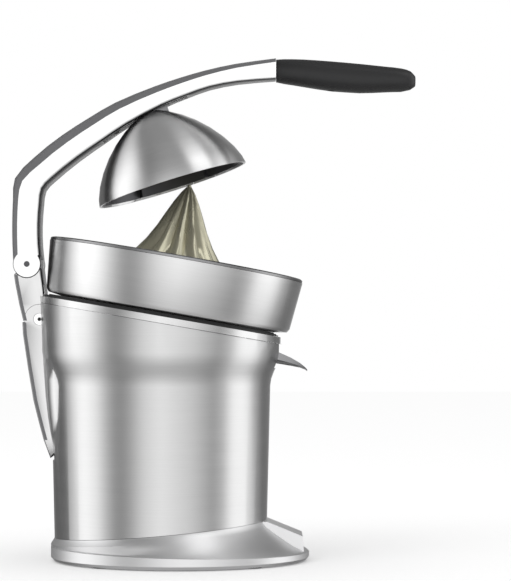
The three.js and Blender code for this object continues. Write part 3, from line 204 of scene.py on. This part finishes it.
def noise_node(tree, vector, scale, detail=2.0, roughness=0.5):
    noise = tree.nodes.new("ShaderNodeTexNoise")
    for name, value in (("Scale", scale), ("Detail", detail), ("Roughness", roughness)):
        noise.inputs[name].default_value = value
    tree.links.new(vector, noise.inputs["Vector"])
    return noise.outputs["Fac"]


def range_node(tree, value, target=(0, 1), source=(0, 1), smooth=False):
    """Runs through the target range while the value runs through the source range."""
    node = tree.nodes.new("ShaderNodeMapRange")
    node.interpolation_type = "SMOOTHSTEP" if smooth else "LINEAR"
    for name, limit in zip(("From Min", "From Max", "To Min", "To Max"), (*source, *target)):
        node.inputs[name].default_value = limit
    tree.links.new(value, node.inputs["Value"])
    return node.outputs["Result"]


def blend_node(tree, factor, a, b):
    """Mixes two colours, each of them a socket or four numbers."""
    mix = tree.nodes.new("ShaderNodeMix")
    mix.data_type = "RGBA"
    for name, value in (("Factor", factor), ("A", a), ("B", b)):
        feed(tree, mix.inputs[name], value)
    return mix.outputs["Result"]


def shade_mix(tree, tone, value, spread):
    """The tone, lightened and darkened a little where the value runs from 0 to 1."""
    darker = (*[c * (1 - spread) for c in tone], 1)
    lighter = (*[min(1, c * (1 + spread)) for c in tone], 1)
    return blend_node(tree, value, darker, lighter)


def bump_node(tree, height, strength, distance=0.0002):
    bump = tree.nodes.new("ShaderNodeBump")
    bump.inputs["Strength"].default_value = strength
    bump.inputs["Distance"].default_value = distance
    tree.links.new(height, bump.inputs["Height"])
    return bump.outputs["Normal"]


def link_finish(tree, shader, tone, roughness, normal):
    """Links what every finish has: its tone, its roughness and its grain."""
    for name, value in (("Base Color", tone), ("Roughness", roughness), ("Normal", normal)):
        tree.links.new(value, shader.inputs[name])


def brushed_metal(name, tone, matrix, roughness=0.32, across=1400, radial=False,
                  along=1.6, spread=0.05, stretch=0.8):
    """Metal brushed round its axis: fine lines that run round, streaked along their length."""
    streak_width, line_depth, gloss = 12, 0.00012, 0.06
    material, tree, shader = new_material(name)
    x, y, z = place_coordinates(tree, matrix)
    turn = math_node(tree, "MULTIPLY", math_node(tree, "ARCTAN2", y, x), along)
    if radial:
        squares = [math_node(tree, "MULTIPLY", part, part) for part in (x, y)]
        z = math_node(tree, "ADD", math_node(tree, "SQRT", math_node(tree, "ADD", *squares)), z)
    lines = join_node(tree, turn, math_node(tree, "MULTIPLY", z, across))
    grain = noise_node(tree, lines, 1.0, 4.0, 0.6)
    streaks = join_node(tree, turn, math_node(tree, "MULTIPLY", z, across / streak_width))
    broad = noise_node(tree, streaks, 1.0)
    both = math_node(tree, "MULTIPLY", math_node(tree, "ADD", grain, broad), 0.5)
    link_finish(
        tree, shader, shade_mix(tree, tone, range_node(tree, both, (-0.6, 1.6)), spread),
        range_node(tree, both, (roughness - gloss, roughness + gloss)),
        bump_node(tree, grain, settings().brushing, line_depth))
    turned = tree.nodes.new("ShaderNodeMapping")
    turned.vector_type = "VECTOR"
    turned.inputs["Rotation"].default_value = matrix.to_euler()
    around = join_node(tree, math_node(tree, "MULTIPLY", y, -1.0), x)
    tree.links.new(around, turned.inputs["Vector"])
    tree.links.new(turned.outputs[0], shader.inputs["Tangent"])
    shader.inputs["Anisotropic"].default_value = stretch
    shader.inputs["Anisotropic Rotation"].default_value = 0.25
    shader.inputs["Metallic"].default_value = 1
    return material


def cast_metal(name, tone, roughness=0.25, spread=0.04, metallic=1.0, grain=900, bump=0.05):
    """Smooth casting with a faint orange-peel grain and slow changes of gloss."""
    material, tree, shader = new_material(name)
    place = coordinates(tree)["Object"]
    slow = noise_node(tree, place, 22.0)
    link_finish(
        tree, shader, shade_mix(tree, tone, slow, spread),
        range_node(tree, slow, (roughness - 0.04, roughness + 0.05)),
        bump_node(tree, noise_node(tree, place, grain, 3.0), bump))
    shader.inputs["Metallic"].default_value = metallic
    return material


def moulded(name, tone, roughness=0.5, sheen=0.0, spread=0.08, grain=1600, bump=0.12):
    """Moulded plastic or rubber with a fine spark-eroded grain."""
    material, tree, shader = new_material(name)
    place = coordinates(tree)["Object"]
    slow = noise_node(tree, place, 30.0, 3.0)
    link_finish(
        tree, shader, shade_mix(tree, tone, slow, spread),
        range_node(tree, slow, (roughness - 0.05, roughness + 0.06)),
        bump_node(tree, noise_node(tree, place, grain), bump))
    shader.inputs["Sheen Weight"].default_value = sheen
    return material


def lever_with_painted_bevels(name, bright, band, shade):
    """Polished sides, a grey painted reflection on the upper bevels and near-black painted shade
    on the lower ones, by how the casting faces.
    """
    sideways, upward, upward_blend = (0.90, 0.97), (-0.6, 0, 0.8), (-0.08, 0.08)
    material, tree, shader = new_material(name)
    source = coordinates(tree)
    facing = source["Normal"]
    across = math_node(tree, "ABSOLUTE", split_node(tree, facing)["Y"])
    side = range_node(tree, across, source=sideways, smooth=True)
    rise = tree.nodes.new("ShaderNodeVectorMath")
    rise.operation = "DOT_PRODUCT"
    tree.links.new(facing, rise.inputs[0])
    rise.inputs[1].default_value = upward
    upper = range_node(tree, rise.outputs["Value"], source=upward_blend, smooth=True)
    slow = noise_node(tree, source["Object"], 18.0)
    fine = noise_node(tree, source["Object"], 1200.0)
    # Painted shade on the downward bevels, a grey painted reflection on the upward ones
    edge = blend_node(
        tree, upper, shade_mix(tree, shade, slow, 0.10), shade_mix(tree, band, slow, 0.10))
    link_finish(
        tree, shader, blend_node(tree, side, edge, shade_mix(tree, bright, slow, 0.02)),
        range_node(tree, slow, (0.20, 0.30)), bump_node(tree, fine, 0.03))
    # The bevels are not metallic, so their painted reflection and painted shade don't mirror the
    # studio at a glancing angle.
    tree.links.new(side, shader.inputs["Metallic"])
    shader.inputs["Specular IOR Level"].default_value = 0.25
    return material


# Pieces


def smooth_faces(mesh):
    mesh.polygons.foreach_set("use_smooth", [True] * len(mesh.polygons))


def crisp_edges(piece, angle):
    piece.modifiers.new("Crisp edges", "EDGE_SPLIT").split_angle = math.radians(angle)


def finish_solids(material, *nodes, angle=32.0):
    """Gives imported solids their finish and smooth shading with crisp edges."""
    for node in nodes:
        solid = NODES[node]
        solid.data.materials.clear()
        solid.data.materials.append(material)
        smooth_faces(solid.data)
        solid.modifiers.new("Weld", "WELD").merge_threshold = 1e-6
        crisp_edges(solid, angle)


def mesh_piece(name, mesh, body, material):
    piece = bpy.data.objects.new(name, mesh)
    bpy.context.scene.collection.objects.link(piece)
    mesh.materials.append(material)
    smooth_faces(mesh)
    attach(piece, body)
    return piece


def round_points(radius, count):
    angles = [2 * math.pi * k / count for k in range(count)]
    return [(radius * math.cos(angle), radius * math.sin(angle)) for angle in angles]


def skin_mesh(name, rings, ends="closed"):
    """Skin over rings of points, whose ends are closed, open or joined to each other."""
    made = bmesh.new()
    rows = [[made.verts.new(point) for point in ring] for ring in rings]
    beside = rows[1:] + (rows[:1] if ends == "joined" else [])
    for low, high in zip(rows, beside):
        for corners in zip(low, low[1:] + low[:1], high[1:] + high[:1], high):
            made.faces.new(corners)
    if ends == "closed":
        made.faces.new(list(reversed(rows[0])))
        made.faces.new(rows[-1])
    bmesh.ops.recalc_face_normals(made, faces=made.faces)
    mesh = bpy.data.meshes.new(name)
    made.to_mesh(mesh)
    made.free()
    return mesh


def lathe_mesh(name, profile, matrix, segments):
    """Closed [radius, height] outline in millimetres, turned round the axis of the matrix."""
    rings = [[matrix @ Vector((r * MM * x, r * MM * y, h * MM)) for r, h in profile]
             for x, y in round_points(1, segments)]
    return skin_mesh(name, rings, "joined")


def square_mesh(name, half, matrix, material):
    corners = ((-half, -half), (half, -half), (half, half), (-half, half))
    mesh = bpy.data.meshes.new(name)
    mesh.from_pydata([matrix @ Vector((x, y, 0)) for x, y in corners], [], [(0, 1, 2, 3)])
    mesh.materials.append(material)
    return mesh


def painted_reflection_strip(name, edge, side, material):
    """Painted dark reflection: a thin dark strip along a carrier's back edge, inside its bevel;
    side is -1 for the near face.
    """
    sizes = bpy.context.scene.press_sizes
    low, high = sizes.band_start, sizes.band_start + sizes.band_width
    face, root = (side * (CARRIER_HALF * MM + stand)
                  for stand in (sizes.band_stand, -sizes.band_stand))
    corners = ((low, face), (high, face), (high, root), (low, root))
    rings = [[Vector((CLAMP[0] + x * MM + out, y, CLAMP[1] + z * MM)) for out, y in corners]
             for x, z in edge]
    crisp_edges(mesh_piece(name, skin_mesh(name, rings), "base", material), 30)


# Painted shadow: a dark hexagon laid in the clamp bolt's socket
def painted_socket_shadow(material):
    hexagon = round_points(bpy.context.scene.press_sizes.socket, SOCKET_SIDES)
    rings = [[Vector((CLAMP[0] + x, -depth, CLAMP[1] + z)) for x, z in hexagon]
             for depth in SOCKET_DEPTHS]
    mesh = skin_mesh("painted_socket_shadow", rings)
    crisp_edges(mesh_piece("painted_socket_shadow", mesh, "base", material), 30)


class PRESS_OT_housing(bpy.types.Operator):
    """Brushed drum, collar, inner frame and inlet"""

    bl_idname = "press.housing"
    bl_label = "Housing"

    def execute(self, context):
        values = settings()
        drum = brushed_metal("drum steel", values.steel, Matrix.Identity(4), across=1100)
        finish_solids(drum, "body_shell")
        finish_solids(brushed_metal("collar steel", values.steel, HEAD, 0.25), "collar")
        finish_solids(cast_metal("dark casting", values.dark, 0.35), "rear_frame")
        finish_solids(moulded("inlet plastic", PLASTIC), "cord_gland")
        return {"FINISHED"}


class PRESS_OT_base(bpy.types.Operator):
    """Cast base with its cover and feet"""

    bl_idname = "press.base"
    bl_label = "Base"

    def execute(self, context):
        casting = cast_metal("base casting", settings().casting, 0.42, grain=1500)
        finish_solids(casting, "base", angle=25.0)
        finish_solids(moulded("cover plastic", COVER), "base_cover")
        feet = ("foot_front_left", "foot_front_right", "foot_rear_left", "foot_rear_right")
        finish_solids(moulded("foot rubber", FOOT, 0.7), *feet)
        return {"FINISHED"}


class PRESS_OT_bowl(bpy.types.Operator):
    """Deck, bowl and strainer, with the seal in the seam"""

    bl_idname = "press.bowl"
    bl_label = "Bowl and strainer"

    def execute(self, context):
        values = settings()
        finish_solids(moulded("deck finish", DECK), "deck")
        finish_solids(brushed_metal("bowl steel", values.bowl, HEAD, across=1300), "juice_bowl")
        finish_solids(cast_metal("tray casting", values.tray), "juice_tray", "bowl_outlet")
        strainer = brushed_metal("strainer steel", values.steel, HEAD, 0.2, radial=True)
        finish_solids(strainer, "strainer", "strainer_rim")
        ring = lathe_mesh("seam_seal", SEAM_SEAL, SEAM, SEAL_SEGMENTS)
        mesh_piece("seam_seal", ring, "base", moulded("bowl seal", SEAL, 0.6))
        return {"FINISHED"}


class PRESS_OT_reamer(bpy.types.Operator):
    """Smoked reamer"""

    bl_idname = "press.reamer"
    bl_label = "Reamer"

    def execute(self, context):
        smoked = cast_metal("smoked metal", settings().reamer, 0.27, 0.10, metallic=0.6)
        finish_solids(smoked, "reamer", angle=50.0)
        return {"FINISHED"}


class PRESS_OT_lever(bpy.types.Operator):
    """Lever, its carriers, pins and grip"""

    bl_idname = "press.lever"
    bl_label = "Lever and grip"

    def execute(self, context):
        values = settings()
        # The lever's and the carriers' bevels carry painted reflection and painted shade
        edges = (values.band, values.shade)
        arm = lever_with_painted_bevels("banded lever", values.lever, *edges)
        finish_solids(arm, "lever_arm", angle=28.0)
        carrier = lever_with_painted_bevels("banded carrier", values.steel, *edges)
        finish_solids(carrier, "arm_post", "arm_bracket", angle=28.0)
        pins = cast_metal("pin steel", values.dark, 0.3)
        finish_solids(pins, "hinge_pin", "dome_pin", "grip_screw")
        finish_solids(cast_metal("bolt steel", values.lever, 0.2), "clamp_bolt", "clamp_nut")
        # Painted dark reflection strips along the carriers' back edges
        painted_reflection_finish = moulded("band coat", values.band, 0.35)
        for label, side in (("near", -1), ("far", 1)):
            painted_reflection_strip("bracket_painted_reflection_" + label, BRACKET_BACK, side, painted_reflection_finish)
            painted_reflection_strip("post_painted_reflection_" + label, POST_BACK, side, painted_reflection_finish)
        # Painted shadow in the clamp bolt's socket
        painted_socket_shadow(moulded("socket shadow", PAINTED_SHADOW_TONE, 0.6))
        finish_solids(moulded("grip rubber", values.grip, sheen=0.04), "grip", angle=60.0)
        finish_solids(moulded("bumper rubber", RUBBER, 0.7), "dome_bumper")
        return {"FINISHED"}


class PRESS_OT_dome(bpy.types.Operator):
    """Pressing dome, its liner and saddle"""

    bl_idname = "press.dome"
    bl_label = "Dome"

    def execute(self, context):
        values = settings()
        steel = brushed_metal("dome steel", values.dome, DOME, 0.36, 1200, radial=True)
        finish_solids(steel, "dome", angle=40.0)
        finish_solids(cast_metal("liner casting", values.dark, 0.4), "dome_liner", angle=40.0)
        finish_solids(cast_metal("saddle casting", values.saddle, 0.3), "dome_saddle")
        return {"FINISHED"}


class PRESS_OT_spout(bpy.types.Operator):
    """Lifting spout and its pin"""

    bl_idname = "press.spout"
    bl_label = "Spout"

    def execute(self, context):
        chrome = cast_metal("spout steel", settings().spout, 0.16)
        finish_solids(chrome, "spout", "spout_pin", angle=40.0)
        return {"FINISHED"}


class PRESS_OT_drive(bpy.types.Operator):
    """Motor, gears and switch inside the drum"""

    bl_idname = "press.drive"
    bl_label = "Drive"

    def execute(self, context):
        values = settings()
        finish_solids(moulded("gear nylon", NYLON, 0.45), "output_gear", "idler_gear")
        finish_solids(moulded("case plastic", PLASTIC), "gear_case", "start_switch")
        finish_solids(moulded("seal rubber", RUBBER, 0.7), "shaft_seal", "switch_button")
        shafts = cast_metal("shaft steel", values.steel, 0.15)
        finish_solids(shafts, "spindle", "idler_axle", "motor_shaft")
        finish_solids(cast_metal("motor steel", values.dark, 0.4), "motor", "drive_key")
        bronze = cast_metal("sintered bronze", BRONZE, 0.4)
        finish_solids(bronze, "upper_bush", "lower_bush", "motor_pinion")
        return {"FINISHED"}


# Studio

# Brightness of the studio ring by bearing in degrees, 0 towards the camera and 90 to the right
RING_STOPS = [
    (-180, 0.9), (-168, 0.3), (-152, 0.14), (-120, 0.16), (-104, 1.1), (-88, 1.65), (-70, 1.35),
    (-58, 0.8), (-48, 0.42), (-38, 0.40), (-29, 0.64), (-16, 1.15), (2, 1.45), (16, 1.25),
    (34, 0.98), (47, 0.72), (59, 0.46), (71, 0.70), (84, 1.5), (102, 1.5), (118, 0.6),
    (134, 0.20), (156, 0.2), (170, 0.4), (180, 0.9),
]
RING_PEAK = 1.7
# Height that the light reaches, by degrees away from the camera
RING_REACH = [(0, 1.2), (45, 1.5), (80, 3.2), (120, 3.0), (180, 2.0)]
REACH_PEAK = 4
# Brightness above that height, and down towards the pit: heights, then levels
RING_FADE = ((-0.5, 0.7), (1.0, 0.22))
RING_SINK = ((-2.6, -0.1), (0.45, 1.0))
RING_RADIUS = 3.2
RING_LOW, RING_HIGH = -3.0, 4.6
RING_SEGMENTS = 96
CEILING_GLOW, PIT_GLOW = 0.30, 0.45
# Soft box above and to the right, for the dome
CARD_PLACE = (1.48, -1.24, 2.6)
CARD_AIM = (0, 0, 0.35)
CARD_SIDE = 1.5
CARD_LEVEL = 2.2
# Lamp on the left, seen as light and shadow alone
KEY_PLACE = (-1.2, -1.4, 1.8)
KEY_AIM = (0, 0, 0.2)
KEY_SIDE = 1.2
KEY_POWER = 9
FLOOR_HALF = 6.0
FLOOR_TONE = (0.97, 0.97, 0.97, 1)
SENSOR = 36


def ramp_node(tree, value, stops, peak):
    """Levels up to the peak, by a value from 0 to 1."""
    ramp = tree.nodes.new("ShaderNodeValToRGB")
    while len(ramp.color_ramp.elements) < len(stops):
        ramp.color_ramp.elements.new(0.5)
    for element, (place, level) in zip(ramp.color_ramp.elements, stops):
        element.position = place
        element.color = (level / peak,) * 3 + (1,)
    tree.links.new(value, ramp.inputs[0])
    return math_node(tree, "MULTIPLY", ramp.outputs["Color"], peak)


def glow_material(name, level):
    material, tree, light = new_material(name, "ShaderNodeEmission")
    light.inputs["Color"].default_value = (1, 1, 1, 1)
    light.inputs["Strength"].default_value = level
    return material, tree, light


def reflector_material():
    """Soft boxes and dark flags in a ring; the front one is lower than those at the sides."""
    material, tree, light = glow_material("studio ring", 1)
    x, y, z = split_node(tree, coordinates(tree)["Object"])
    bearing = math_node(tree, "ARCTAN2", x, math_node(tree, "MULTIPLY", y, -1.0))
    turn = math_node(tree, "ADD", math_node(tree, "DIVIDE", bearing, 2 * math.pi), 0.5)
    stops = [(degrees / 360 + 0.5, level) for degrees, level in RING_STOPS]
    level = ramp_node(tree, turn, stops, RING_PEAK)
    away = math_node(tree, "DIVIDE", math_node(tree, "ABSOLUTE", bearing), math.pi)
    stops = [(degrees / 180, reach) for degrees, reach in RING_REACH]
    above = math_node(tree, "SUBTRACT", z, ramp_node(tree, away, stops, REACH_PEAK))
    fade, sink = (range_node(tree, value, levels, heights, smooth=True)
                  for value, (heights, levels) in ((above, RING_FADE), (z, RING_SINK)))
    shaped = math_node(tree, "MULTIPLY", fade, sink)
    tree.links.new(math_node(tree, "MULTIPLY", level, shaped), light.inputs["Strength"])
    return material


def aimed(place, aim, axis):
    """Turn that points the axis from the place to the aim."""
    return (Vector(aim) - Vector(place)).to_track_quat(axis, "Y")


def reflector_ring():
    """Ring with a grey ceiling and a grey pit, seen only by reflections."""
    circle = round_points(RING_RADIUS, RING_SEGMENTS)
    rings = [[Vector((x, y, level)) for x, y in circle] for level in (RING_LOW, RING_HIGH)]
    wall = skin_mesh("studio_ring", rings, "open")
    wall.materials.append(reflector_material())
    card = Matrix.Translation(CARD_PLACE) @ aimed(CARD_PLACE, CARD_AIM, "Z").to_matrix().to_4x4()
    meshes = [wall]
    for name, half, matrix, label, level in (
            ("studio_ceiling", RING_RADIUS, Matrix.Translation((0, 0, RING_HIGH)),
             "studio_ceiling glow", CEILING_GLOW),
            ("studio_pit", RING_RADIUS, Matrix.Translation((0, 0, RING_LOW)),
             "studio_pit glow", PIT_GLOW),
            ("studio_card", CARD_SIDE / 2, card, "card glow", CARD_LEVEL)):
        meshes.append(square_mesh(name, half, matrix, glow_material(label, level)[0]))
    for mesh in meshes:
        piece = bpy.data.objects.new(mesh.name, mesh)
        bpy.context.scene.collection.objects.link(piece)
        piece.visible_camera = False
        piece.visible_diffuse = False
        piece.visible_shadow = False
        piece.visible_transmission = False


def floor_piece():
    material, _, shader = new_material("pale floor")
    shader.inputs["Base Color"].default_value = FLOOR_TONE
    shader.inputs["Roughness"].default_value = 0.9
    shader.inputs["Specular IOR Level"].default_value = 0.0
    mesh = square_mesh("floor", FLOOR_HALF, Matrix.Identity(4), material)
    floor = bpy.data.objects.new("floor", mesh)
    bpy.context.scene.collection.objects.link(floor)
    floor.visible_glossy = False


def key_lamp():
    lamp = bpy.data.lights.new("key", "AREA")
    lamp.shape = "RECTANGLE"
    lamp.size = lamp.size_y = KEY_SIDE
    lamp.energy = KEY_POWER
    piece = bpy.data.objects.new("key", lamp)
    piece.location = KEY_PLACE
    piece.rotation_euler = aimed(KEY_PLACE, KEY_AIM, "-Z").to_euler()
    bpy.context.scene.collection.objects.link(piece)
    piece.visible_glossy = False


class PRESS_OT_stage(bpy.types.Operator):
    """Camera, floor, reflectors and light"""

    bl_idname = "press.stage"
    bl_label = "Studio"

    def execute(self, context):
        scene = context.scene
        studio = scene.press_studio
        camera = bpy.data.objects.new("camera", bpy.data.cameras.new("camera"))
        aim = Vector(studio.aim)
        camera.location = (aim.x, -studio.distance, studio.height)
        camera.rotation_euler = aimed(camera.location, aim, "-Z").to_euler()
        camera.data.sensor_width = SENSOR
        camera.data.lens = SENSOR * studio.distance / studio.view_height
        scene.collection.objects.link(camera)
        scene.camera = camera
        floor_piece()
        reflector_ring()
        key_lamp()
        world = bpy.data.worlds.new("studio")
        scene.world = world
        world.use_nodes = True
        backdrop = world.node_tree.nodes["Background"]
        backdrop.inputs["Color"].default_value = (1, 1, 1, 1)
        backdrop.inputs["Strength"].default_value = 1.0
        scene.view_settings.view_transform = "Standard"
        return {"FINISHED"}


class PRESS_PT_panel(bpy.types.Panel):
    """Lists the pieces of the press"""

    bl_idname = "PRESS_PT_panel"
    bl_label = "Citrus press"
    bl_space_type = "VIEW_3D"
    bl_region_type = "UI"
    bl_category = "Press"

    def draw(self, context):
        scene = context.scene
        for group in (scene.press_finish, scene.press_sizes, scene.press_studio):
            for name in group.bl_rna.properties.keys():
                if name not in {"rna_type", "name"}:
                    self.layout.prop(group, name)
        for operator in OPERATORS:
            self.layout.operator(operator.bl_idname)


GROUPS = {"press_finish": PressFinish, "press_sizes": PressSizes, "press_studio": PressStudio}
OPERATORS = (
    PRESS_OT_housing, PRESS_OT_base, PRESS_OT_bowl, PRESS_OT_reamer, PRESS_OT_lever,
    PRESS_OT_dome, PRESS_OT_spout, PRESS_OT_drive, PRESS_OT_stage,
)
CLASSES = (*GROUPS.values(), *OPERATORS, PRESS_PT_panel)


def register():
    for item in CLASSES:
        bpy.utils.register_class(item)
    for name, group in GROUPS.items():
        setattr(bpy.types.Scene, name, bpy.props.PointerProperty(type=group))


def unregister():
    for name in GROUPS:
        delattr(bpy.types.Scene, name)
    for item in reversed(CLASSES):
        bpy.utils.unregister_class(item)


def main():
    register()
    for operator in OPERATORS:
        group, name = operator.bl_idname.split(".")
        getattr(getattr(bpy.ops, group), name)()


if __name__ == "__main__":
    main()
